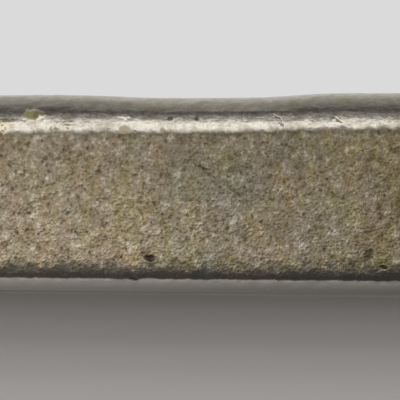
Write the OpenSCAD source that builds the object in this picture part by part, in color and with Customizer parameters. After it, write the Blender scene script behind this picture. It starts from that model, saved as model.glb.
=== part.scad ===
// Cast metal ingot, a bar of about one kilogram poured in an open mould.
// One solid: leaning walls, a rounded base edge, and a poured face whose rim is rolled over
// by surface tension and whose middle has sunk as the metal froze. Millimetres, base on z = 0.

/* [Bar] */
// Length over the rim, the longest place
bar_length = 110; // [60:1:300]
// Width over the rim, the widest place
bar_width = 50; // [30:1:120]
// Height from the base to the crest of the rim
bar_height = 19; // [14:0.5:50]
// Lean of the walls out of the upright, in degrees, so that the bar leaves its mould
wall_draft = 4.5; // [0:0.5:12]
// Radius of the upright corners, measured at the rim
corner_radius = 7; // [5:0.5:20]

/* [Edges] */
// Radius of the base edge, where the mould's floor meets its wall
base_radius = 2.6; // [0.5:0.1:4]
// Radius of the rim, as surface tension rolls it over
rim_radius = 3.8; // [1:0.1:6]

/* [Poured face] */
// How far the floor of the dish lies below the crest of the rim
dish_depth = 1.5; // [0:0.1:4]
// Width of the slope between the crest of the rim and the floor of the dish
dish_slope = 13; // [6:0.5:30]
// Radius of the corners of the dish's floor
floor_corner_radius = 7; // [2:0.5:20]
// How far the crest of the rim sinks at mid-length
rim_sag = 0.4; // [0:0.05:1]
// Length of the sunk stretch of the rim
sag_length = 24; // [10:1:60]

/* [Hidden] */

metal_colour = [0.56, 0.52, 0.44];

// Steps along each stretch of the outline and of the section
side_steps = 30;
corner_steps = 6;
base_edge_steps = 5;
rim_steps = 8;
slope_steps = 6;

// The smallest radius that a corner keeps, and the least half width of the dish's floor
least_corner = 0.4;
least_floor = 2;

// Corners and slope end short of the middle line on a narrow bar
half_width = min(bar_length, bar_width) / 2;
corner = min(corner_radius, half_width - least_corner);
slope = min(dish_slope, half_width - rim_radius - least_floor);
floor_corner = min(floor_corner_radius, half_width - rim_radius - slope - least_corner);

// The section runs from the base up the wall to the crest of the rim. A point of it is
// [inset from the widest outline, height], and its angles are those of the outward normal.
rim_centre = [rim_radius, bar_height - rim_radius];
wall_top = on_arc(rim_centre, rim_radius, -wall_draft);
wall_drop = wall_top.y - base_radius * (1 - sin(wall_draft));
wall_bottom = wall_top + wall_drop * [tan(wall_draft), -1];
base_centre = wall_bottom - on_arc([0, 0], base_radius, -wall_draft);

function on_arc(centre, radius, normal) = centre + radius * [-cos(normal), sin(normal)];

function arc(centre, radius, from, to, steps) =
    [for (i = [0:steps]) on_arc(centre, radius, from + (to - from) * i / steps)];

// The points that divide a straight stretch, without its ends
function between(from, to, steps) =
    [for (i = [1:steps - 1]) from + (to - from) * i / steps];

section = concat(
    arc(base_centre, base_radius, -90, -wall_draft, base_edge_steps),
    wall_draft > 0 ? [wall_top] : [],
    arc(rim_centre, rim_radius, 0, 90, rim_steps));

// A smooth step from 0 to 1, level at both ends
function ease(t) = t <= 0 ? 0 : t >= 1 ? 1 : t * t * (3 - 2 * t);

// How far the crest of the rim sinks at x, with a level start and end
function sag(x) = abs(x) < sag_length / 2 ? rim_sag * (1 + cos(360 * x / sag_length)) / 2 : 0;

// A point at its height in the sunk bar: the wall keeps its own, the crest takes the whole sag
function sunk(p) = [p.x, p.y, p.z - sag(p.x) * ease((p.z - rim_centre.y) / rim_radius)];

// A rectangle with round corners, drawn inside the widest outline by an inset. Its back half
// runs from the right end to the left end, and half a turn of that is its front half.
function outline(inset, r) = let (back = back_half(inset, r)) concat(back, -back);

function back_half(inset, r) =
    let (cx = bar_length / 2 - inset - r, cy = bar_width / 2 - inset - r)
    concat(
        round_corner([cx, cy], r, 0),
        between([cx, cy + r], [-cx, cy + r], side_steps),
        round_corner([-cx, cy], r, 90));

function round_corner(centre, radius, from) =
    [for (i = [0:corner_steps]) let (a = from + 90 * i / corner_steps)
        centre + radius * [cos(a), sin(a)]];

// The corners get tighter with the inset, so that the walls lean alike all round
function section_corner(inset) = max(corner - inset, least_corner);

function ring(inset, height, r) = [for (p = outline(inset, r)) sunk([p.x, p.y, height])];

// A ring of the poured face, which slopes down inside the rim to the level floor of the dish
function face_ring(t) =
    let (rim_corner = section_corner(rim_radius),
         r = rim_corner + (floor_corner - rim_corner) * t)
    [for (p = ring(rim_radius + slope * t, bar_height, r)) p - [0, 0, dish_depth * ease(t)]];

rings = concat(
    [for (p = section) ring(p.x, p.y, section_corner(p.x))],
    [for (i = [1:slope_steps]) face_ring(i / slope_steps)]);

// Closes a stack of rings into one skin: strips from ring to ring, and the first and last
// rings filled by strips from the back half of the outline to its front half
module skin(stack) {
    n = len(stack[0]);
    top = n * (len(stack) - 1);
    walls = [for (k = [0:n:top - n], i = [0:n - 1]) let (j = (i + 1) % n)
        each [[k + i, k + n + i, k + j], [k + j, k + n + i, k + n + j]]];
    fill = [for (i = [0:n / 2 - 2]) let (j = n - 1 - i)
        each [[i, j, i + 1], [i + 1, j, j - 1]]];
    base_fill = [for (f = fill) [f[0], f[2], f[1]]];
    top_fill = [for (f = fill) [for (v = f) top + v]];
    polyhedron(
        points = [for (r = stack) each r],
        faces = concat(walls, base_fill, top_fill),
        convexity = 4);
}

// All that lies above the mould's level floor, which leaves the base as one plane
module above_floor() {
    translate([-bar_length, -bar_width, 0]) cube([2 * bar_length, 2 * bar_width, 2 * bar_height]);
}

module ingot() {
    color(metal_colour) intersection() {
        skin(rings);
        above_floor();
    }
}

ingot();
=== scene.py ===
"""A poured metal ingot on a plain pale stage, laid out as an add-on and run as a script."""

import math
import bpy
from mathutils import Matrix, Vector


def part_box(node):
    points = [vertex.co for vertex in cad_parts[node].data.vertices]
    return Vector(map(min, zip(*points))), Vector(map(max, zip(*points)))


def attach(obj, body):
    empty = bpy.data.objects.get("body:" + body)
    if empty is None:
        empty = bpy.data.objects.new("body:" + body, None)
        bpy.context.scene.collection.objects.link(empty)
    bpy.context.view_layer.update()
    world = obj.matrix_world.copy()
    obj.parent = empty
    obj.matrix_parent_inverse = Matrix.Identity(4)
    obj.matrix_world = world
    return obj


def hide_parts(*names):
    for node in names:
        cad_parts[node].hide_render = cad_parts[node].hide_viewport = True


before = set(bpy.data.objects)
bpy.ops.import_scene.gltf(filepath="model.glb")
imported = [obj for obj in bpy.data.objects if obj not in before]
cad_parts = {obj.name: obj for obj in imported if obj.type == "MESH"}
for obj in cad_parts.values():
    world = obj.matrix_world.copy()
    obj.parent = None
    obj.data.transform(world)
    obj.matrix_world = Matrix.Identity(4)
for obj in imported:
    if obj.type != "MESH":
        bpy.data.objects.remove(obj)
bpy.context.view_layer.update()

from types import SimpleNamespace

import bmesh
import bpy
import numpy as np
from mathutils import Matrix, Vector, kdtree, noise

bl_info = {
    "name": "Cast Ingot",
    "version": (1, 0, 0),
    "blender": (4, 5, 0),
    "location": "View3D > Sidebar > Ingot",
    "description": "Models a poured metal ingot with its cast skin, and a plain stage for it",
    "category": "Object",
}

MM = 0.001
NODE = "ingot"
LOW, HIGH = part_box(NODE)


# Settings that a user would change

def length_setting(name, description, default):
    return bpy.props.FloatProperty(
        name=name, description=description, default=default, min=0, precision=5,
        subtype="DISTANCE", unit="LENGTH")


def colour_setting(name, description, default):
    return bpy.props.FloatVectorProperty(
        name=name, description=description, default=default, size=3, min=0, max=1,
        subtype="COLOR")


class IngotSizes(bpy.types.PropertyGroup):
    length: length_setting("Length", "Length over the rim", HIGH[0] - LOW[0])
    width: length_setting("Width", "Width over the rim", HIGH[1] - LOW[1])
    height: length_setting("Height", "Height to the crest of the rim", HIGH[2] - LOW[2])
    draft: bpy.props.FloatProperty(
        name="Draft", description="Lean of the walls out of the upright",
        default=math.radians(4.5), subtype="ANGLE", unit="ROTATION")
    corner: length_setting("Corner radius", "Radius of the upright corners", 7 * MM)
    base_edge: length_setting("Base edge radius", "Rounding where base and wall meet", 2.6 * MM)
    rim: length_setting("Rim radius", "Rounding of the rim", 3.8 * MM)
    dish_depth: length_setting("Dish depth", "Depth of the sunk poured face", 1.5 * MM)
    dish_slope: length_setting("Dish slope", "Width of the slope inside the rim", 13 * MM)
    dish_corner: length_setting("Dish corner", "Softness of the dish's corners", 7 * MM)
    sag: length_setting("Rim sag", "How far the rim sinks at mid-length", 0.36 * MM)
    sag_length: length_setting("Sag length", "Length of the sunk stretch of the rim", 24 * MM)
    skin_step: length_setting("Skin step", "Spacing of the points of the poured face", 0.63 * MM)


class IngotColours(bpy.types.PropertyGroup):
    bright: colour_setting("Bright metal", "Clean metal of the rim", (0.80, 0.745, 0.655))
    tarnish: colour_setting("Tarnish", "Brown tarnish of the walls", (0.285, 0.236, 0.163))
    # Pale and dark grains: the grain's own tone, and partly painted light on the high grains and
    # painted shade in the low spots between them
    pale: colour_setting("Pale grain", "Rubbed high spots of the walls", (0.49, 0.443, 0.352))
    dark: colour_setting("Dark grain", "Low spots between the grains", (0.144, 0.106, 0.050))
    warm: colour_setting("Warm tint", "Tint of the yellow-brown patches", (1.0, 0.935, 0.74))
    green: colour_setting("Green tint", "Tint of the olive patches", (0.96, 1.0, 0.84))
    rosy: colour_setting("Rosy tint", "Tint of the reddish patches", (1.0, 0.95, 0.965))
    cool: colour_setting("Cool tint", "Tint of the greyer patches", (0.90, 0.94, 1.0))
    ochre: colour_setting("Ochre crust", "Brown part of the lump on the rim", (0.40, 0.32, 0.165))
    olive: colour_setting("Olive crust", "Green part of the lump on the rim", (0.46, 0.44, 0.235))
    crest: colour_setting("Crest film", "Dull film on the crest and the face", (0.56, 0.53, 0.465))
    cream: colour_setting("Cream crust", "Yellowish crust on the rim", (0.86, 0.77, 0.56))
    tan: colour_setting("Tan crust", "Crust in the shallow pits of the rim", (0.46, 0.385, 0.27))
    # Grime colour: the rim's dark spots, and painted shade along the base edge
    grime: colour_setting("Grime", "Dark film along the base edge", (0.118, 0.111, 0.097))
    umber: colour_setting("Umber stain", "Brown blotch by the base", (0.070, 0.054, 0.024))
    dirt: colour_setting("Dirt", "What has settled in pits", (0.056, 0.043, 0.022))


class IngotStage(bpy.types.PropertyGroup):
    floor: colour_setting("Floor", "Pale floor", (0.775, 0.742, 0.72))
    backdrop: bpy.props.FloatProperty(
        name="Backdrop", description="Grey level of the backdrop", default=0.701, min=0, max=1)
    room: bpy.props.FloatProperty(
        name="Room light", description="Even light of the room on the floor", default=0.20, min=0)
    window: bpy.props.FloatProperty(
        name="Window power", description="Power of the soft light behind", default=14.9,
        min=0, subtype="POWER", unit="POWER")
    distance: length_setting("Camera distance", "From the photographed wall", 100 * MM)
    eye: length_setting("Eye height", "Height of the camera", 8.84 * MM)
    turn: bpy.props.FloatProperty(
        name="Camera turn", description="Turn of the camera round the bar, to the right",
        default=math.radians(5), subtype="ANGLE", unit="ROTATION")
    roll: bpy.props.FloatProperty(
        name="Camera roll", description="Lean of the camera", default=math.radians(0.17),
        subtype="ANGLE", unit="ROTATION")
    span: length_setting("Framed length", "Length of the bar that the frame shows", 36.9 * MM)


# Small helpers for modelling

# A vertex group holds its weights in this many levels
WEIGHT_LEVELS = 32


def smooth_step(t):
    t = np.clip(t, 0, 1)
    return t * t * (3 - 2 * t)


def start_clean():
    """Leaves edit mode and deselects everything, the frame's nodes included."""
    if bpy.context.mode != "OBJECT":
        bpy.ops.object.mode_set(mode="OBJECT")
    bpy.ops.object.select_all(action="DESELECT")


def pick(obj, kind, test):
    """In edit mode, selects just the faces, edges or verts for which test is true."""
    bpy.ops.mesh.select_mode(type={"faces": "FACE", "edges": "EDGE", "verts": "VERT"}[kind])
    bpy.ops.mesh.select_all(action="DESELECT")
    mesh = bmesh.from_edit_mesh(obj.data)
    picked = [item for item in getattr(mesh, kind) if test(item)]
    if not picked:
        raise RuntimeError(f"no {kind} to pick on {obj.name}")
    for item in picked:
        item.select_set(True)
    mesh.select_flush_mode()
    bmesh.update_edit_mesh(obj.data)


def apply_modifier(obj, name, kind, **settings):
    modifier = obj.modifiers.new(name, kind)
    for key, value in settings.items():
        setattr(modifier, key, value)
    bpy.ops.object.modifier_apply(modifier=modifier.name)


def points(obj):
    out = np.empty(len(obj.data.vertices) * 3)
    obj.data.vertices.foreach_get("co", out)
    return out.reshape(-1, 3)


def normals(obj):
    out = np.empty(len(obj.data.vertices) * 3, dtype=np.float32)
    obj.data.vertex_normals.foreach_get("vector", out)
    return out.reshape(-1, 3).astype(float)


def set_points(obj, co):
    obj.data.vertices.foreach_set("co", co.ravel())
    obj.data.update()


def add_attribute(obj, name, kind, field, values):
    """An attribute with one value a vertex."""
    attribute = obj.data.attributes.new(name, kind, "POINT")
    attribute.data.foreach_set(field, values.ravel())


def weight_group(obj, name, weights):
    """A vertex group with one weight a vertex."""
    group = obj.vertex_groups.new(name=name)
    levels = np.round(np.clip(weights, 0, 1) * WEIGHT_LEVELS).astype(int)
    for level in range(1, WEIGHT_LEVELS + 1):
        chosen = np.flatnonzero(levels == level)
        if len(chosen):
            group.add(chosen.tolist(), level / WEIGHT_LEVELS, "REPLACE")


# The bar

# Steps of the rounded corners, base edge and rim
CORNER_STEPS, BASE_STEPS, RIM_STEPS = 10, 8, 12
# How close to the base or to the crest a point of their sharp edges lies
NEAR_BASE, NEAR_CREST = MM, MM / 10


def block(sizes):
    """A tapered block with round corners and edges, shaped from a cube."""
    lean = math.tan(sizes.draft)
    up, down = math.pi / 4 + sizes.draft / 2, math.pi / 4 - sizes.draft / 2
    # The flat walls run on to sharp edges, which stand out past the round rim
    out = sizes.rim * (math.tan(up) - 1)
    start_clean()
    bpy.ops.mesh.primitive_cube_add(size=1, location=(0, 0, sizes.height / 2))
    bar = bpy.context.object
    bar.name = bar.data.name = "ingot_cast"
    bar.scale = (sizes.length + 2 * out, sizes.width + 2 * out, sizes.height)
    bpy.ops.object.transform_apply(location=True, rotation=True, scale=True)
    bpy.ops.object.mode_set(mode="EDIT")
    pick(bar, "edges", lambda e: abs(e.verts[0].co.z - e.verts[1].co.z) > sizes.height / 2)
    bpy.ops.mesh.bevel(offset=sizes.corner + out, segments=CORNER_STEPS, affect="EDGES")
    pick(bar, "verts", lambda v: v.co.z < NEAR_BASE)
    shrink = 2 * sizes.height * lean
    bpy.ops.transform.resize(
        value=(1 - shrink / (sizes.length + 2 * out), 1 - shrink / (sizes.width + 2 * out), 1),
        center_override=(0, 0, 0))
    pick(bar, "edges", lambda e: all(v.co.z < NEAR_BASE for v in e.verts))
    bpy.ops.mesh.bevel(
        offset=sizes.base_edge * math.tan(down), segments=BASE_STEPS, affect="EDGES")
    pick(bar, "edges", lambda e: all(v.co.z > sizes.height - NEAR_CREST for v in e.verts))
    bpy.ops.mesh.bevel(offset=sizes.rim * math.tan(up), segments=RIM_STEPS, affect="EDGES")
    bpy.ops.object.mode_set(mode="OBJECT")
    return bar


# Strength of the smoothing, and its rounds before and after the walls get their finer net
SMOOTHING, FIRST_ROUNDS, LAST_ROUNDS = 0.5, 4, 3
# The finer net starts over the base and ends below the crest, and leaves out flatter faces
FINE_FROM, FINE_BELOW_CREST, FLAT_NORMAL = 0.05 * MM, 0.6 * MM, 0.97
# Points this close to the lowest one lie on the flat base
BASE_SLACK = 0.001 * MM


def even_skin(bar, sizes):
    """An even net of small faces, twice as fine on the walls as on the poured face."""
    apply_modifier(bar, "skin", "REMESH", mode="VOXEL", voxel_size=sizes.skin_step)
    apply_modifier(bar, "even", "SMOOTH", factor=SMOOTHING, iterations=FIRST_ROUNDS)
    bpy.ops.object.mode_set(mode="EDIT")
    crest = sizes.height - FINE_BELOW_CREST
    pick(bar, "faces", lambda f: FINE_FROM < f.calc_center_median().z < crest
         and abs(f.normal.z) < FLAT_NORMAL)
    bpy.ops.mesh.subdivide(number_cuts=1, smoothness=0, quadcorner="INNERVERT")
    bpy.ops.object.mode_set(mode="OBJECT")
    apply_modifier(bar, "even again", "SMOOTH", factor=SMOOTHING, iterations=LAST_ROUNDS)
    # The flat base needs no more than one face
    flat = points(bar)[:, 2].min() + BASE_SLACK
    bpy.ops.object.mode_set(mode="EDIT")
    pick(bar, "faces", lambda f: all(v.co.z < flat for v in f.verts))
    bpy.ops.mesh.dissolve_faces()
    bpy.ops.object.mode_set(mode="OBJECT")
    return len(bar.data.vertices)


def soft_max(a, b, radius):
    """The larger of two lengths, with the change-over rounded."""
    mix = np.clip(0.5 + (a - b) / (2 * radius), 0, 1)
    return b + (a - b) * mix + radius * mix * (1 - mix)


# Lengths over which the rim sinks on the left and rises again on the right, and how far each
# is under way at that end of the sunk stretch
SAG_LEFT, SAG_RIGHT = 12.6 * MM, 8.4 * MM
LEFT_LEAD, RIGHT_LEAD = 0.24, 0.93
# Upper share of the rim that sinks with its crest
SINKING_SHARE = 0.75
# Faint rings that the freezing melt leaves inside the rim: spacing, height, place and spread,
# and the size of the bends that they wander in
RING_STEP, RING_RISE, RING_PLACE, RING_SPREAD = 3.2 * MM, 0.028 * MM, 10 * MM, 4 * MM
RING_BENDS = 14 * MM


def sink_top(bar, sizes):
    """The poured face sinks inside its rim, and the rim itself at mid-length."""
    co = points(bar)
    side = soft_max(np.abs(co[:, 0]) - sizes.length / 2, np.abs(co[:, 1]) - sizes.width / 2,
                    sizes.dish_corner)
    slope = smooth_step((-side - sizes.rim) / sizes.dish_slope)
    sinking = SINKING_SHARE * sizes.rim
    upper = smooth_step((co[:, 2] - (sizes.height - sinking)) / sinking)
    half = sizes.sag_length / 2
    sinks = smooth_step((co[:, 0] + half) / SAG_LEFT + LEFT_LEAD)
    rises = smooth_step((co[:, 0] - half) / SAG_RIGHT + RIGHT_LEAD)
    sag = sizes.sag * sinks * (1 - rises)
    on_top = co[:, 2] > sizes.height / 2
    drop = sizes.dish_depth * slope + sag * upper
    for i in np.flatnonzero(on_top & (-side > sizes.rim)):
        wander = noise.noise(Vector(co[i]) / RING_BENDS)
        ring = math.sin(2 * math.pi * (-side[i] / RING_STEP + wander))
        near = math.exp(-((-side[i] - RING_PLACE) / RING_SPREAD) ** 2)
        drop[i] -= RING_RISE * ring * near
    co[:, 2] -= np.where(on_top, drop, 0)
    set_points(bar, co)


# Relief of the cast skin: a name, the size of its grain and its height in mm, and where it is
RELIEF = (
    ("uneven wall", 9.0, 0.14, "cast"),
    ("coarse grain", 2.0, 0.12, "cast"),
    ("grain", 0.8, 0.11, "cast"),
    ("uneven face", 14.0, 0.30, "face"),
    ("slow ripple", 3.5, 0.10, "face"),
    ("rim waves", 2.6, 0.08, "rim"),
    ("rim skin", 0.9, 0.05, "rim"),
)
RELIEF_DETAIL = 2
# Heights over which the walls' relief gives way to the rim's, and fades towards the base
RIM_BLEND, BASE_BLEND = 0.5 * MM, 1.6 * MM
# Share of the walls' relief that the rim loses
RIM_LOSS = 0.9


def cast_relief(bar, sizes):
    """Uneven walls, a grainy cast skin, and the ripples of the poured face and its rim."""
    co = points(bar)
    rim_start = sizes.height - sizes.rim
    poured = smooth_step((co[:, 2] - rim_start) / RIM_BLEND)
    base = smooth_step(co[:, 2] / BASE_BLEND)
    inside = np.minimum(sizes.length / 2 - np.abs(co[:, 0]), sizes.width / 2 - np.abs(co[:, 1]))
    weight_group(bar, "cast", base * (1 - RIM_LOSS * poured))
    weight_group(bar, "rim", poured)
    weight_group(bar, "face", poured * smooth_step(inside / sizes.rim - 1))
    for name, grain, rise, group in RELIEF:
        texture = bpy.data.textures.new(name, "CLOUDS")
        texture.noise_scale = grain * MM
        texture.noise_depth = RELIEF_DETAIL
        apply_modifier(bar, name, "DISPLACE", texture=texture, texture_coords="LOCAL",
                       strength=rise * MM, mid_level=0.5, vertex_group=group)
        bpy.data.textures.remove(texture)


# Marks of the photographed side, in mm: place along it, height, half length, half height,
# clockwise turn in degrees, rise (a pit is below 0), and what it is filled or covered with
MARKS = (
    (-15.94, 16.74, 0.84, 0.48, 0, 0.08, "olive"),
    (-15.46, 16.72, 0.34, 0.32, 0, 0.03, "ochre"),
    (-15.92, 17.18, 0.56, 0.11, 0, 0.05, "cream"),
    (-14.85, 16.82, 0.40, 0.17, 10, 0.04, "tan"),
    (-18.45, 15.60, 0.50, 0.66, 0, 0.05, "cream"),
    (-18.62, 15.80, 0.12, 0.10, 0, -0.02, "tan"),
    (-18.30, 15.48, 0.10, 0.14, 0, -0.02, "tan"),
    (-18.58, 15.28, 0.15, 0.08, 0, -0.02, "ochre"),
    (-18.10, 16.20, 0.80, 0.15, 0, 0.03, "olive"),
    (-12.42, 15.56, 0.42, 0.34, 0, 0.02, "cream"),
    (-12.42, 15.50, 0.18, 0.15, 0, -0.02, "tan"),
    (-12.46, 15.85, 0.30, 0.07, 0, -0.03, "tan"),
    (-13.99, 15.53, 0.14, 0.22, 10, -0.02, "tan"),
    (-13.51, 15.48, 0.14, 0.18, 0, -0.02, "tan"),
    (-7.10, 15.40, 0.54, 0.40, 0, -0.03, "tan"),
    (-7.08, 16.60, 0.46, 0.14, 0, 0.07, "bright"),
    (-2.83, 16.32, 0.27, 0.24, 0, 0.03, "grime"),
    (-0.36, 16.30, 0.22, 0.22, 0, 0.03, "grime"),
    (-3.46, 15.30, 0.28, 0.20, 0, -0.02, "tan"),
    (7.48, 15.95, 0.60, 0.08, 68, -0.04, "dark"),
    (6.99, 16.58, 0.40, 0.07, 31, -0.03, "dark"),
    (7.32, 15.80, 0.12, 0.16, 0, 0.04, "bright"),
    (12.67, 16.19, 0.36, 0.10, 35, -0.06, "dark"),
    (12.30, 16.22, 0.14, 0.14, 0, 0.05, "bright"),
    (-4.76, 3.42, 0.56, 0.26, 6, -0.20, "dark"),
    (-4.80, 3.46, 0.54, 0.24, 6, 0.0, "dirt"),
    # Pale lip under the pit above: painted light on its lower side
    (-4.42, 3.04, 0.50, 0.13, -10, 0.04, "pale"),
    (-6.40, 1.42, 0.50, 0.10, 4, -0.02, "dirt"),
    (16.85, 2.72, 0.38, 0.15, 10, -0.10, "dirt"),
    # Pale lip under the pit above: painted light on its lower side
    (16.90, 2.42, 0.50, 0.10, -20, 0.06, "pale"),
    (15.50, 3.85, 0.48, 0.60, 10, -0.06, "umber"),
    (0.34, 11.58, 1.75, 0.11, 35, -0.03, "dark"),
    (3.21, 9.55, 0.75, 0.10, 38, -0.03, "dark"),
    (-10.54, 10.92, 0.95, 0.13, -42, 0.025, "pale"),
    (-12.82, 10.45, 0.65, 0.13, -36, 0.02, "pale"),
    (-13.24, 7.26, 0.60, 0.13, -72, 0.02, "pale"),
    (-12.76, 7.98, 0.60, 0.12, -40, 0.02, "pale"),
    (-8.87, 7.84, 0.65, 0.12, -12, 0.02, "pale"),
    (-7.92, 8.40, 0.50, 0.12, -50, 0.02, "pale"),
    (-14.54, 9.88, 0.40, 0.40, 0, -0.05, "ochre"),
    (12.20, 9.39, 0.14, 0.26, 0, -0.04, "dark"),
)
# How strongly each filling or crust covers the metal, and how dull it leaves it
COVERS = {"dirt": 0.9, "dark": 0.5, "tan": 0.88, "pale": 0.6, "olive": 0.9, "ochre": 0.85,
          "bright": 1.0, "cream": 0.7, "grime": 0.9, "umber": 0.8}
DULL = {"olive": 1.0, "ochre": 1.0, "dirt": 0.6, "dark": 0.4, "tan": 0.35, "pale": 0.4,
        "grime": 0.5, "umber": 0.6}
# Faces and points whose normal has less than this along Y are on the photographed side
FACING = -0.05
# Each round halves the net round the marks: how far past them, in mm, and for half widths
# below what
REFINING = ((0.32, math.inf), (0.18, math.inf), (0.06, 0.16))


def reach(co, mark, grow=0):
    """How far points lie from the middle of a mark, where 1 is its outline."""
    x, z, long, high, turn = mark[:5]
    long, high = long + grow, high + grow
    right, down = co[:, 0] / MM - x, z - co[:, 2] / MM
    cos, sin = math.cos(math.radians(turn)), math.sin(math.radians(turn))
    return np.hypot((right * cos + down * sin) / long, (down * cos - right * sin) / high)


def refine_marks(bar):
    """A finer net under the marks of the photographed side, finest under the narrow ones."""
    for grow, narrow in REFINING:
        centres = np.array([p.center for p in bar.data.polygons])
        front = np.array([p.normal.y for p in bar.data.polygons]) < FACING
        near = np.zeros(len(centres), dtype=bool)
        for mark in MARKS:
            if min(mark[2:4]) < narrow:
                near |= reach(centres, mark, grow) < 1
        chosen = set(np.flatnonzero(near & front & (centres[:, 1] < 0)).tolist())
        bpy.ops.object.mode_set(mode="EDIT")
        pick(bar, "faces", lambda face: face.index in chosen)
        bpy.ops.mesh.subdivide(number_cuts=1, smoothness=0, ngon=False, quadcorner="INNERVERT")
        bpy.ops.object.mode_set(mode="OBJECT")


# How far the outlines of the marks fray, the size of the fraying, and its seed
FRAY, FRAY_SIZE, FRAY_SEED = 0.13 * MM, 0.35 * MM, 6
# A mark matters as far as this many times its own size
MARK_REACH = 3
# A mark is full up to here, where 1 is its outline, and its cover fades over this width
FULL_TO, FADES_OVER = 0.7, 0.5
# How steep the sides of a lump or pit are
STEEPNESS = 4
# Bare metal beside a mark holds its colour too, at no cover, so that its edge has a clean hue:
# the share of that colour, how little of it comes from far marks, and a start above 0
EDGE_SHARE, FAR_SHARE, START_WEIGHT = 0.02, 1e-6, 1e-9


def press_marks(bar, colours):
    """Pits, lumps and creases of the photographed side, each a frayed ellipse on it."""
    co, direction = points(bar), normals(bar)
    front = (co[:, 1] < 0) & (direction[:, 1] < FACING)
    nearest = np.min([reach(co, mark) for mark in MARKS], axis=0)
    close = np.flatnonzero(front & (nearest < MARK_REACH))
    frayed = co[close]
    noise.seed_set(FRAY_SEED)
    for row, p in enumerate(co[close]):
        frayed[row] += FRAY * np.array(noise.noise_vector(Vector(p) / FRAY_SIZE))
    lift, cover, dull = (np.zeros(len(close)) for _ in range(3))
    crust, beside = (np.zeros((len(close), 3)) for _ in range(2))
    weight = START_WEIGHT
    for mark in MARKS:
        rise, kind = mark[5:]
        away = reach(frayed, mark)
        lift += rise * MM * np.exp(-away ** STEEPNESS)
        spot = COVERS[kind] * (1 - smooth_step((away - FULL_TO) / FADES_OVER))
        tone = np.array(getattr(colours, kind))
        crust = crust * (1 - spot)[:, None] + spot[:, None] * tone
        cover = cover * (1 - spot) + spot
        dull = dull * (1 - spot) + spot * DULL.get(kind, 0)
        share = np.exp(-away ** 2) + FAR_SHARE / (1 + away)
        beside = beside + share[:, None] * tone
        weight = weight + share
    tones = (crust + EDGE_SHARE * beside / weight[:, None]) / (cover + EDGE_SHARE)[:, None]
    paint = np.zeros((len(co), 4))
    paint[close] = np.hstack((tones, cover[:, None]))
    add_attribute(bar, "crust", "FLOAT_COLOR", "color", paint)
    flat = np.zeros(len(co))
    flat[close] = dull
    add_attribute(bar, "dull", "FLOAT", "value", flat)
    co[close] += direction[close] * lift[:, None]
    set_points(bar, co)


# Gas pits: their number and seed, and how far they stay from the base and from the rim
PIT_COUNT, PIT_SEED = 300, 11
PITS_FROM, PITS_BELOW_RIM = 1.6 * MM, 0.7 * MM
# Least radius of a pit in mm, what chance adds to it, and how rare the wide ones are
PIT_RADIUS, PIT_EXTRA, PIT_RARITY = 0.15, 0.22, 3
# Least depth of a pit as a share of its radius, and what chance adds to it
PIT_DEPTH, PIT_EXTRA_DEPTH = 0.25, 0.3
# A pit fades out within this many radii
PIT_REACH = 2


def scatter_pits(bar, sizes, even_points):
    """Small gas pits all over the walls. An attribute keeps how hollow each place is."""
    co, direction = points(bar), normals(bar)
    tree = kdtree.KDTree(len(co))
    for i, p in enumerate(co):
        tree.insert(p, i)
    tree.balance()
    hollow, depths = np.zeros(len(co)), np.zeros(len(co))
    draw = np.random.RandomState(PIT_SEED)
    height = co[:even_points, 2]
    pits_to = sizes.height - sizes.rim - PITS_BELOW_RIM
    wall = np.flatnonzero((height > PITS_FROM) & (height < pits_to))
    for centre in draw.choice(wall, PIT_COUNT, replace=False):
        radius = MM * (PIT_RADIUS + PIT_EXTRA * draw.rand() ** PIT_RARITY)
        depth = radius * (PIT_DEPTH + PIT_EXTRA_DEPTH * draw.rand())
        for _, i, gap in tree.find_range(co[centre], PIT_REACH * radius):
            bowl = math.exp(-(gap / radius) ** STEEPNESS)
            depths[i] += depth * bowl
            hollow[i] = max(hollow[i], bowl)
    set_points(bar, co - direction * depths[:, None])
    add_attribute(bar, "hollow", "FLOAT", "value", hollow)


# Shader maths

class Num:
    """A number in a node tree. Arithmetic on it adds Math nodes."""

    def __init__(self, tree, socket):
        self.tree, self.socket = tree, socket

    def math(self, operation, *others, clamp=False):
        node = self.tree.nodes.new("ShaderNodeMath")
        node.operation, node.use_clamp = operation, clamp
        for slot, value in zip(node.inputs, (self, *others)):
            link_or_set(self.tree, slot, value)
        return Num(self.tree, node.outputs[0])

    def flipped(self, operation, other):
        node = self.tree.nodes.new("ShaderNodeMath")
        node.operation = operation
        link_or_set(self.tree, node.inputs[0], other)
        link_or_set(self.tree, node.inputs[1], self)
        return Num(self.tree, node.outputs[0])

    def __add__(self, other):
        return self.math("ADD", other)

    def __sub__(self, other):
        return self.math("SUBTRACT", other)

    def __mul__(self, other):
        return self.math("MULTIPLY", other)

    def __truediv__(self, other):
        return self.math("DIVIDE", other)

    def __rsub__(self, other):
        return self.flipped("SUBTRACT", other)

    def __rtruediv__(self, other):
        return self.flipped("DIVIDE", other)

    __radd__ = __add__
    __rmul__ = __mul__

    def absolute(self):
        return self.math("ABSOLUTE")

    def clamped(self):
        return self.math("ADD", 0, clamp=True)


def link_or_set(tree, slot, value):
    if isinstance(value, Num):
        value = value.socket
    if isinstance(value, bpy.types.NodeSocket):
        tree.links.new(value, slot)
    else:
        slot.default_value = value


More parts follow.
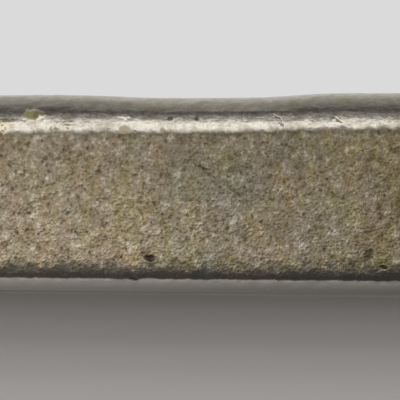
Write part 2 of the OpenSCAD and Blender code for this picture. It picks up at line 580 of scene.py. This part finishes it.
class Shader:
    """Adds nodes to a tree by their type, settings and socket values."""

    # Way in which a pattern is shifted, so that no two start at the same place
    SHIFT_WAY = (1.0, 0.7, 1.3)
    # A Mix node has sockets for each kind of data: these are A, B and the result for colours
    MIX_A, MIX_B, MIX_RESULT = 6, 7, 2

    def __init__(self, tree):
        self.tree = tree
        tree.nodes.clear()

    def node(self, kind, settings=None, **sockets):
        node = self.tree.nodes.new("ShaderNode" + kind)
        settings = dict(settings or {})
        stops = settings.pop("stops", None)
        for key, value in settings.items():
            setattr(node, key, value)
        if stops:
            self.stops(node.color_ramp, stops)
        for name, value in sockets.items():
            link_or_set(self.tree, self.slot(node, name), value)
        return node

    @staticmethod
    def slot(node, name):
        plain = name.replace("_", " ").strip()
        live = [s for s in node.inputs if s.enabled and s.name.lower() == plain.lower()]
        if not live:
            raise KeyError(f"{node.bl_idname} has no input {plain}")
        return live[0]

    @staticmethod
    def stops(ramp, stops):
        while len(ramp.elements) < len(stops):
            ramp.elements.new(1)
        for element, (place, level) in zip(ramp.elements, stops):
            element.position = place
            element.color = (level, level, level, 1)

    def num(self, node, output):
        return Num(self.tree, node.outputs[output])

    def attribute(self, name):
        return self.num(self.node("Attribute", {"attribute_name": name}), "Fac")

    def stretched(self, where, scale):
        """A place on which patterns come out drawn out along the axes of a small scale."""
        node = self.node("Mapping", {"vector_type": "POINT"}, Vector=where, Scale=scale)
        return node.outputs[0]

    def noise(self, where, size, detail, roughness, shift=0.0):
        """Cloudy noise with features of about a given size, from 0 to 1."""
        moved = self.node("VectorMath", {"operation": "ADD"})
        link_or_set(self.tree, moved.inputs[0], where)
        moved.inputs[1].default_value = [shift * part for part in self.SHIFT_WAY]
        node = self.node("TexNoise", Vector=moved.outputs[0], Scale=1 / size, Detail=detail,
                         Roughness=roughness)
        return self.num(node, 0)

    def cells(self, where, size):
        """Rounded cells of about a given size."""
        return self.node("TexVoronoi", Vector=where, Scale=1 / size, Randomness=1.0)

    def step(self, value, low, high):
        """0 below low, 1 above high, smooth between."""
        node = self.node("MapRange", {"interpolation_type": "SMOOTHSTEP", "clamp": True},
                         Value=value, From_Min=low, From_Max=high, To_Min=0.0, To_Max=1.0)
        return self.num(node, 0)

    def gain(self, colour, factor):
        """A colour made brighter or darker."""
        node = self.node("VectorMath", {"operation": "SCALE"})
        link_or_set(self.tree, node.inputs[0], colour)
        link_or_set(self.tree, self.slot(node, "Scale"), factor)
        return node.outputs[0]

    def mix(self, factor, a, b, blend="MIX"):
        node = self.node("Mix", {"data_type": "RGBA", "clamp_factor": True, "blend_type": blend})
        link_or_set(self.tree, node.inputs[0], factor)
        link_or_set(self.tree, node.inputs[self.MIX_A], a)
        link_or_set(self.tree, node.inputs[self.MIX_B], b)
        return node.outputs[self.MIX_RESULT]

    def tinted(self, factor, colour, tint):
        return self.mix(factor, colour, tint, "MULTIPLY")


def rgba(colour):
    return (*colour, 1.0)


# The finish

# Noise swings about this level
MEAN = 0.5
# Cloudy patterns: size in mm, detail, roughness and shift
PATTERNS = {
    "broad": (6.0, 2, 0.5, 0.05),
    "film": (2.4, 3, 0.6, 0.31),
    "stain": (2.7, 3, 0.55, 0.67),
    "patches": (1.3, 2, 0.5, 0.83),
    "coarse": (0.58, 2, 0.6, 0.17),
    "grain": (0.30, 2, 0.6, 0.53),
    "streaks": (0.5, 2, 0.6, 0.23),
    "worms": (1.6, 1, 0.5, 0.44),
}
# Films and stains have run down the walls, and streaks lie along the rim
RUN, DRAWN = (1.25, 1.25, 0.6), (0.4, 0.4, 1.0)
# Size of the grains, distance of the pinholes, and how ragged these are
GRAIN_SIZE, PINHOLE_STEP, RAGGED = 0.26 * MM, 0.8 * MM, 0.3

# Zones of the bar, in mm: where each starts and where it is full
ZONES = {
    # Along the bar, from its middle
    "line climbs": (2, 15), "right": (-18, 18), "rusty from": (13, 18), "rusty to": (26, 40),
    "middle from": (-8, 1), "middle to": (7, 13),
    # Over the base
    "over base edge": (1.36, 1.50), "uneven base": (1.0, 1.3), "over grime": (1.85, 3.4),
    "high": (2, 15),
    # Over the rim's lower line, and over the start of its rounding
    "poured": (-0.24, 0.38), "under rim": (-0.9, -0.05), "crest": (1.7, 2.3),
    # In from the sides
    "inside rim": (1.7, 2.4), "dish": (5, 11), "inside base edge": (4.6, 8.0),
}
# The rim's lower line lies a little below its rounding, and climbs so far towards the right
LINE_DROP, LINE_CLIMB = 0.04 * MM, 0.28 * MM
# How far patches and coarse grain push the rim's lower line and the base edge up and down
LINE_PATCHES, LINE_COARSE = 0.7 * MM, 0.4 * MM
BASE_PATCHES, BASE_COARSE = 0.2 * MM, 0.25 * MM
# How far films push the upper edge of the painted shade along the base edge, the edge of the
# crest, and the border of the base
BASE_SHADE_SPREAD, CREST_SPREAD, BASE_SPREAD = 1.6 * MM, 0.8 * MM, 3 * MM

# Levels of a pattern at which a layer starts and is full
LAYERS = {
    "tarnish": (0.325, 0.505), "pale": (0.50, 0.675), "warm": (0.46, 0.66),
    "green": (0.46, 0.66), "not rosy": (0.36, 0.52), "cool": (0.44, 0.58),
    "grain centre": (0.55, 0.85), "pale grains": (0.84, 0.90), "no dark grains": (0.10, 0.16),
    "no pinhole": (0.06, 0.26), "no ridge": (0.0, 0.05), "ridged": (0.5, 0.6),
    "rim tarnish": (0.46, 0.66), "rim streaks": (0.50, 0.66), "rim grain": (0.48, 0.62),
    "crest stain": (0.46, 0.62), "worn": (0.40, 0.66), "dirty pit": (0.35, 0.95),
}
# How strongly a layer shows
SHOWS = {
    "pale grains": 0.45, "dark grains": 0.5, "ridges": 0.3, "pinholes": 0.4, "grime": 0.9,
    "rim tarnish": 0.3, "rim streaks": 0.45, "rim grain": 0.4, "crest stain": 0.6, "worn": 0.55,
    "dirty pit": 0.45,
}
# What patterns add to the tone of the walls, and a drop that centres it. The relief follows much
# the same patterns, so the tone is partly painted light on high spots and painted shade in low
# ones
TONE, TONE_DROP = {"coarse": 0.42, "grain": 0.27, "tint": 0.08, "patches": 0.29}, 0.03
# Warm and green tints are weaker on the left, and the rusty stretch is warmer all over
WARM_LEFT, GREEN_LEFT, WARM_RUSTY = 0.3, 0.55, 0.5
# Rosy tint all over, and more of it on the left
ROSY, ROSY_LEFT = 0.5, 0.5
# Cool tint all over, more of it in the middle, and less on the rusty stretch
COOL, COOL_MIDDLE, COOL_RUSTY = 0.45, 0.55, 0.4
# Painted shade of the high part of the wall, its right, the strip below the rim, high in the
# middle, and where rusty
SHADE_HIGH, SHADE_RIGHT, SHADE_RIM, SHADE_MIDDLE, SHADE_RUSTY = 0.15, 0.10, 0.32, 0.12, 0.10
# Brightness of the walls, the painted light that the low left gains, and how strongly the painted
# shade counts
WALL_GAIN, LOW_LEFT_PAINTED_LIGHT, SHADE_GAIN = 1.33, 0.44, 1.15
# How ragged the worn patches of the face and the base are
WORN_RAGGED = 0.4
# Brightness of rim, face and base, and what grain adds; that of the base edge, and what films add
RIM_GAIN, RIM_GRAIN_GAIN, BASE_GAIN, BASE_FILM_GAIN = 0.85, 0.4, 0.88, 1.2
# Roughness of the walls and how it falls with their tone, and of all else, its films and crusts
WALL_ROUGH, TONE_ROUGH, RIM_ROUGH, FILM_ROUGH, CRUST_ROUGH = 0.36, 0.5, 0.18, 0.14, 0.55
# How much less metallic the tarnished walls are
WALL_TARNISHED = 0.15
# Fine relief: what patterns add to that of the walls, and to that of the rim, face and base, and
# what streaks add by the base edge
WALL_RELIEF = {"coarse": 0.45, "grain": 0.30, "bead": 0.20, "ridge": 0.1, "pinhole": -0.25}
RIM_RELIEF = {"streaks": 0.18, "coarse": 0.13, "grain": 0.08}
BASE_RELIEF = 0.1
# Relief of the walls high up, what it gains low down, and what the painted shade along the base
# edge takes from it
HIGH_RELIEF, LOW_RELIEF, BASE_SHADE_FILL = 0.8, 0.4, 0.6
BUMP_HEIGHT = 0.17 * MM


def zone(s, value, name, origin=0):
    start, full = ZONES[name]
    return s.step(value, origin + start * MM, origin + full * MM)


def layer(s, value, name):
    return s.step(value, *LAYERS[name])


def weighed(patterns, weights):
    """The sum of some patterns, each times its weight."""
    parts = [getattr(patterns, name) * weight for name, weight in weights.items()]
    return sum(parts[1:], parts[0])


def skin_patterns(s, place):
    """Grain, films, stains, pinholes and raised worm-like lines of the cast skin."""
    def cloud(name, where):
        size, detail, roughness, shift = PATTERNS[name]
        return s.noise(where, size * MM, detail, roughness, shift)

    p = SimpleNamespace()
    p.broad = cloud("broad", place)
    run = s.stretched(place, RUN)
    p.film = cloud("film", run)
    p.stain = cloud("stain", run)
    p.patches = cloud("patches", place)
    p.coarse = cloud("coarse", place)
    p.grain = cloud("grain", place)
    p.streaks = cloud("streaks", s.stretched(place, DRAWN))
    grains = s.cells(place, GRAIN_SIZE)
    p.bead = 1 - s.num(grains, "Distance")
    p.tint = s.num(s.node("SeparateXYZ", Vector=grains.outputs["Color"]), 0)
    gap = s.num(s.cells(place, PINHOLE_STEP), "Distance")
    p.pinhole = 1 - layer(s, gap + (p.grain - MEAN) * RAGGED, "no pinhole")
    worms = cloud("worms", place)
    p.ridge = (1 - layer(s, (worms - MEAN).absolute(), "no ridge")) * layer(s, p.film, "ridged")
    return p


def bar_zones(s, p, along, inset, height, rim_start):
    """Rim, base edge, cast wall between them, the wall's own zones, and the underside."""
    z = SimpleNamespace()
    # The melt's free surface ends in an uneven line, a little higher towards the right
    line = (rim_start - LINE_DROP) + LINE_CLIMB * zone(s, along, "line climbs")
    line = line + (p.patches - MEAN) * LINE_PATCHES + (p.coarse - MEAN) * LINE_COARSE
    z.poured = zone(s, height - line, "poured")
    z.under_rim = zone(s, height - line, "under rim")
    uneven = (p.patches - MEAN) * BASE_PATCHES + (p.coarse - MEAN) * BASE_COARSE
    z.base_edge = 1 - zone(s, height + uneven, "over base edge")
    z.cast = (1 - z.poured) * (1 - z.base_edge)
    # Painted shade along the base edge, whose upper edge films make uneven
    z.grimy = 1 - zone(s, height + (p.coarse + p.film - 2 * MEAN) * BASE_SHADE_SPREAD, "over grime")
    z.low = 1 - zone(s, height, "high")
    z.left = 1 - zone(s, along, "right")
    # The underside has the same finish as the rim and the poured face
    spread = (p.film - MEAN) * BASE_SPREAD
    z.underside = zone(s, inset + spread, "inside base edge") * z.base_edge
    z.dressed = z.poured.math("MAXIMUM", z.underside)
    return z


def wall_colour(s, p, z, along, tone, colours):
    """Brown tarnish with pale and dark grains, partly painted light and shade of the relief,
    tinted in patches; painted shade high up, to the right and under the rim, painted light low on
    the left, and painted shade by the base in a grime colour.
    """
    pale, dark = rgba(colours.pale), rgba(colours.dark)
    walls = s.mix(layer(s, tone, "tarnish"), dark, rgba(colours.tarnish))
    walls = s.mix(layer(s, tone, "pale"), walls, pale)
    rusty = zone(s, along, "rusty from") * (1 - zone(s, along, "rusty to"))
    warm = layer(s, p.film, "warm") * (1 - WARM_LEFT * z.left) + WARM_RUSTY * rusty
    walls = s.tinted(warm, walls, rgba(colours.warm))
    green = layer(s, p.stain, "green") * (1 - GREEN_LEFT * z.left)
    walls = s.tinted(green, walls, rgba(colours.green))
    rosy = (1 - layer(s, p.stain, "not rosy")) * (ROSY + ROSY_LEFT * z.left)
    walls = s.tinted(rosy, walls, rgba(colours.rosy))
    middle = zone(s, along, "middle from") * (1 - zone(s, along, "middle to"))
    cool = layer(s, p.broad, "cool") * (COOL + COOL_MIDDLE * middle - COOL_RUSTY * rusty)
    walls = s.tinted(cool, walls, rgba(colours.cool))
    # Pale specks on some grain centres are painted glints; dark specks sit on others
    centre = layer(s, p.bead, "grain centre")
    walls = s.mix(layer(s, p.tint, "pale grains") * centre * SHOWS["pale grains"], walls, pale)
    darker = (1 - layer(s, p.tint, "no dark grains")) * centre
    walls = s.mix(darker * SHOWS["dark grains"], walls, dark)
    # Painted shade and light: the wall is darker high up, to the right, below the rim and high in
    # the middle, and lighter low on the left
    shade = SHADE_HIGH * (1 - z.low) + SHADE_RIGHT * (1 - z.left) + SHADE_RIM * z.under_rim
    shade = shade + SHADE_MIDDLE * middle * (1 - z.low)
    shade = shade + SHADE_RUSTY * rusty
    walls = s.gain(walls, WALL_GAIN + LOW_LEFT_PAINTED_LIGHT * z.low * z.left - SHADE_GAIN * shade)
    walls = s.mix(p.ridge * SHOWS["ridges"], walls, pale)
    walls = s.mix(p.pinhole * SHOWS["pinholes"], walls, rgba(colours.dirt))
    # Painted shade along the base edge, in the grime colour
    return s.mix(z.grimy * SHOWS["grime"], walls, rgba(colours.grime))


def poured_colour(s, p, z, inset, height, rim_start, colours):
    """Bright streaky rim, dull crest, face and base with worn patches, plainer base edge."""
    crest = zone(s, height + (p.film - MEAN) * CREST_SPREAD, "crest", rim_start)
    crest = crest.math("MAXIMUM", zone(s, inset, "inside rim") * (1 - z.base_edge))
    crest = crest.math("MAXIMUM", z.underside)
    bright, tan = rgba(colours.bright), rgba(colours.tan)
    plain = s.mix(crest, bright, rgba(colours.crest))
    tarnished = layer(s, p.patches, "rim tarnish") * SHOWS["rim tarnish"]
    metal = s.mix(tarnished, plain, rgba(colours.tarnish))
    metal = s.mix(layer(s, p.streaks, "rim streaks") * SHOWS["rim streaks"], metal, tan)
    metal = s.mix(layer(s, p.coarse, "rim grain") * SHOWS["rim grain"], metal, tan)
    stained = layer(s, p.stain, "crest stain") * crest * SHOWS["crest stain"]
    metal = s.tinted(stained, metal, rgba(colours.green))
    worn = layer(s, p.broad + (p.film - MEAN) * WORN_RAGGED, "worn") * zone(s, inset, "dish")
    metal = s.mix(worn * SHOWS["worn"], metal, bright)
    metal = s.gain(metal, RIM_GAIN + RIM_GRAIN_GAIN * p.grain)
    base_gain = BASE_GAIN + BASE_FILM_GAIN * (p.film - MEAN) * zone(s, height, "uneven base")
    return s.mix(z.dressed, s.gain(plain, base_gain), metal)


def cast_metal(sizes, colours):
    """Tarnished cast metal: grainy brown walls, a brighter rim, dirt in the pits."""
    material = bpy.data.materials.new("tarnished_cast_metal")
    material.use_nodes = True
    s = Shader(material.node_tree)
    place = s.node("TexCoord").outputs["Object"]
    axes = s.node("SeparateXYZ", Vector=place)
    along, across, height = (s.num(axes, i) for i in range(3))
    rim_start = sizes.height - sizes.rim
    half_length, half_width = sizes.length / 2, sizes.width / 2
    inset = (half_width - across.absolute()).math("MINIMUM", half_length - along.absolute())

    p = skin_patterns(s, place)
    z = bar_zones(s, p, along, inset, height, rim_start)
    tone = weighed(p, TONE) - TONE_DROP
    walls = wall_colour(s, p, z, along, tone, colours)
    metal = poured_colour(s, p, z, inset, height, rim_start, colours)
    colour = s.mix(z.cast, metal, walls)
    dirty = layer(s, s.attribute("hollow"), "dirty pit") * SHOWS["dirty pit"]
    colour = s.mix(dirty, colour, rgba(colours.dirt))
    crust = s.node("Attribute", {"attribute_name": "crust"})
    colour = s.mix(s.num(crust, "Alpha"), colour, crust.outputs["Color"])

    rough_walls = WALL_ROUGH - TONE_ROUGH * (tone - MEAN)
    rough_metal = RIM_ROUGH + FILM_ROUGH * p.film + CRUST_ROUGH * s.attribute("dull")
    roughness = rough_walls * z.cast + rough_metal * (1 - z.cast)
    metallic = 1 - WALL_TARNISHED * z.cast

    on_walls = (HIGH_RELIEF + LOW_RELIEF * z.low) * z.cast * (1 - BASE_SHADE_FILL * z.grimy)
    relief = weighed(p, WALL_RELIEF) * on_walls + p.streaks * (BASE_RELIEF * z.base_edge)
    relief = relief + weighed(p, RIM_RELIEF) * z.dressed
    bump = s.node("Bump", Strength=1.0, Distance=BUMP_HEIGHT, Height=relief)
    shader = s.node("BsdfPrincipled", Base_Color=colour, Roughness=roughness.clamped(),
                    Metallic=metallic, Normal=bump.outputs[0])
    s.node("OutputMaterial", Surface=shader.outputs[0])
    return material


class INGOT_OT_cast_bar(bpy.types.Operator):
    """Models the poured bar with its cast skin, in place of the plain solid"""
    bl_idname = "ingot.cast_bar"
    bl_label = "Cast the bar"

    def execute(self, context):
        sizes, colours = context.scene.ingot_sizes, context.scene.ingot_colours
        bar = block(sizes)
        even_points = even_skin(bar, sizes)
        refine_marks(bar)
        sink_top(bar, sizes)
        cast_relief(bar, sizes)
        press_marks(bar, colours)
        scatter_pits(bar, sizes, even_points)
        bar.data.polygons.foreach_set("use_smooth", [True] * len(bar.data.polygons))
        base = max(bar.data.polygons, key=lambda face: face.area)
        base.use_smooth = False
        bar.vertex_groups.clear()
        bar.data.materials.append(cast_metal(sizes, colours))
        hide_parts(NODE)
        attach(bar, "root")
        return {"FINISHED"}


# The stage

# Light that the metal reflects, by the angle over the front horizon in degrees
SURROUNDINGS = (
    (-180, 0.14), (-150, 0.14), (-128, 0.16), (-110, 0.18), (-95, 0.21), (-78, 0.24),
    (-68, 0.30), (-63, 0.48), (-59, 0.16), (-40, 0.13), (-24, 0.48), (-10, 0.94), (0, 0.92),
    (6, 0.74), (12, 0.95), (18, 1.20), (25, 1.18), (30, 0.60), (36, 0.31), (44, 0.18), (54, 0.13),
    (61, 0.07), (72, 0.06), (82, 0.28), (105, 0.38), (125, 0.52), (150, 0.75), (180, 0.70),
)
# A ramp's stops hold levels up to 1, so they are written as shares of this one
RAMP_TOP = 2
HALF_TURN = 180
# Below these angles the light is stronger towards the left, by this much
LOWER_LIGHT, LEFT_LEAN = (-4, 12), 1.1
# Past the ends of the bar an even light takes over, a little stronger higher up
SIDEWAYS, SIDE_LEVEL, SIDE_RISE = (0.3, 0.95), 0.60, 0.25
# How far the studio gives way to the room for light that the metal throws on the floor
FLOOR_DIMMING = 0.6


def surroundings(stage):
    """Pale backdrop for the camera, even light for the floor, a studio for the metal."""
    world = bpy.data.worlds.new("pale_studio")
    bpy.context.scene.world = world
    world.use_nodes = True
    world.cycles.sampling_method = "NONE"
    s = Shader(world.node_tree)
    axes = s.node("SeparateXYZ", Vector=s.node("TexCoord").outputs["Generated"])
    across, away, up = (s.num(axes, i) for i in range(3))
    angle = up.math("ARCTAN2", -1 * away) * (HALF_TURN / math.pi)
    full_turn = 2 * HALF_TURN
    stops = [((a + HALF_TURN) / full_turn, level / RAMP_TOP) for a, level in SURROUNDINGS]
    ramp = s.node("ValToRGB", {"stops": stops}, Fac=(angle + HALF_TURN) / full_turn)
    lower = 1 - s.step(angle, *LOWER_LIGHT)
    studio = s.num(ramp, 0) * RAMP_TOP * (1 - LEFT_LEAN * lower * across)
    sideways = s.step(across.absolute(), *SIDEWAYS)
    studio = studio * (1 - sideways) + sideways * (SIDE_LEVEL + SIDE_RISE * up)
    path = s.node("LightPath")
    camera_ray, glossy = s.num(path, "Is Camera Ray"), s.num(path, "Is Glossy Ray")
    mirrored = glossy * (1 - FLOOR_DIMMING * s.num(path, "Diffuse Depth").clamped())
    level = camera_ray * stage.backdrop + (1 - camera_ray) * (
        mirrored * studio + (1 - mirrored) * stage.room)
    sky = s.node("Background", Color=(1, 1, 1, 1), Strength=level)
    s.node("OutputWorld", Surface=sky.outputs[0])


# Side of the floor in metres, its roughness, and where it fades out round the bar
FLOOR_SIZE, FLOOR_ROUGH, FLOOR_FADE = 4, 0.9, (160 * MM, 380 * MM)
# Faint clouds on the floor: their size, detail, roughness, strength and darker tone
CLOUD_SIZE, CLOUD_DETAIL, CLOUD_ROUGH, CLOUD_SHOWS, CLOUD_TONE = 60 * MM, 2, 0.5, 0.06, 0.9


def floor(stage):
    """A pale floor that doesn't show in the metal."""
    start_clean()
    bpy.ops.mesh.primitive_plane_add(size=FLOOR_SIZE)
    plane = bpy.context.object
    plane.name = plane.data.name = "floor"
    material = bpy.data.materials.new("pale_floor")
    material.use_nodes = True
    s = Shader(material.node_tree)
    place = s.node("TexCoord").outputs["Object"]
    cloud = s.noise(place, CLOUD_SIZE, CLOUD_DETAIL, CLOUD_ROUGH)
    away = s.num(s.node("VectorMath", {"operation": "LENGTH"}, Vector=place), "Value")
    fade = 1 - s.step(away, *FLOOR_FADE)
    clouded = rgba([CLOUD_TONE * part for part in stage.floor])
    colour = s.mix(cloud * CLOUD_SHOWS, rgba(stage.floor), clouded)
    shader = s.node("BsdfPrincipled", Base_Color=colour, Roughness=FLOOR_ROUGH, Alpha=fade,
                    Specular_IOR_Level=0.0)
    s.node("OutputMaterial", Surface=shader.outputs[0])
    plane.data.materials.append(material)
    plane.visible_glossy = False


# Panes of the window behind the bar: lower edge, upper edge, in metres, and share of its power
PANES = ((0.04, 0.20, 0.60), (0.20, 0.27, 0.19), (0.27, 0.36, 0.11), (0.36, 0.56, 0.05),
         (0.56, 1.20, 0.05))
# Width of the window in metres, its place along the bar, and how far behind it stands
WINDOW_WIDTH, WINDOW_ALONG, WINDOW_BEHIND = 1.0, -0.1, 0.6


def window_light(stage):
    """A wide window low behind the bar, dimmer higher up, so that a soft shadow falls forward."""
    for low, high, share in PANES:
        light = bpy.data.lights.new("window_pane", "AREA")
        light.shape, light.size, light.size_y = "RECTANGLE", WINDOW_WIDTH, high - low
        light.energy = stage.window * share
        lamp = bpy.data.objects.new("window_pane", light)
        bpy.context.scene.collection.objects.link(lamp)
        lamp.location = (WINDOW_ALONG, WINDOW_BEHIND, (low + high) / 2)
        lamp.rotation_euler = (-math.pi / 2, 0, 0)
        lamp.visible_glossy = False


# Width of the camera's sensor in millimetres, and the nearest and farthest that it sees in metres
SENSOR, NEAREST, FARTHEST = 36, 0.005, 10


def camera(stage):
    """Level with the photographed wall, a little to the right of its middle."""
    data = bpy.data.cameras.new("camera")
    data.sensor_width = SENSOR
    data.lens = SENSOR * stage.distance / stage.span
    data.clip_start, data.clip_end = NEAREST, FARTHEST
    view = bpy.data.objects.new("camera", data)
    bpy.context.scene.collection.objects.link(view)
    front = Vector((0, LOW[1], stage.eye))
    back = Vector((math.sin(stage.turn), -math.cos(stage.turn), 0))
    view.location = front + back * stage.distance
    aim = (-back).to_track_quat("-Z", "Y").to_matrix().to_4x4()
    aim @= Matrix.Rotation(stage.roll, 4, "Z")
    view.rotation_euler = aim.to_euler()
    bpy.context.scene.camera = view


class INGOT_OT_set_stage(bpy.types.Operator):
    """Sets a pale floor and backdrop, soft light and the photograph's camera"""
    bl_idname = "ingot.set_stage"
    bl_label = "Set the stage"

    def execute(self, context):
        stage = context.scene.ingot_stage
        context.scene.view_settings.view_transform = "Standard"
        surroundings(stage)
        floor(stage)
        window_light(stage)
        camera(stage)
        return {"FINISHED"}


class INGOT_PT_panel(bpy.types.Panel):
    """Lists the ingot's settings and operators"""
    bl_idname = "INGOT_PT_panel"
    bl_label = "Ingot"
    bl_space_type = "VIEW_3D"
    bl_region_type = "UI"
    bl_category = "Ingot"

    def draw(self, context):
        layout, scene = self.layout, context.scene
        for group in (scene.ingot_sizes, scene.ingot_colours, scene.ingot_stage):
            column = layout.column(align=True)
            for name in type(group).__annotations__:
                column.prop(group, name)
        for operator in (INGOT_OT_cast_bar, INGOT_OT_set_stage):
            layout.operator(operator.bl_idname)


GROUPS = {"ingot_sizes": IngotSizes, "ingot_colours": IngotColours, "ingot_stage": IngotStage}
CLASSES = (*GROUPS.values(), INGOT_OT_cast_bar, INGOT_OT_set_stage, INGOT_PT_panel)


def register():
    for cls in CLASSES:
        bpy.utils.register_class(cls)
    for name, group in GROUPS.items():
        setattr(bpy.types.Scene, name, bpy.props.PointerProperty(type=group))


def unregister():
    for name in GROUPS:
        delattr(bpy.types.Scene, name)
    for cls in reversed(CLASSES):
        bpy.utils.unregister_class(cls)


def main():
    register()
    bpy.ops.ingot.cast_bar()
    bpy.ops.ingot.set_stage()


if __name__ == "__main__":
    main()
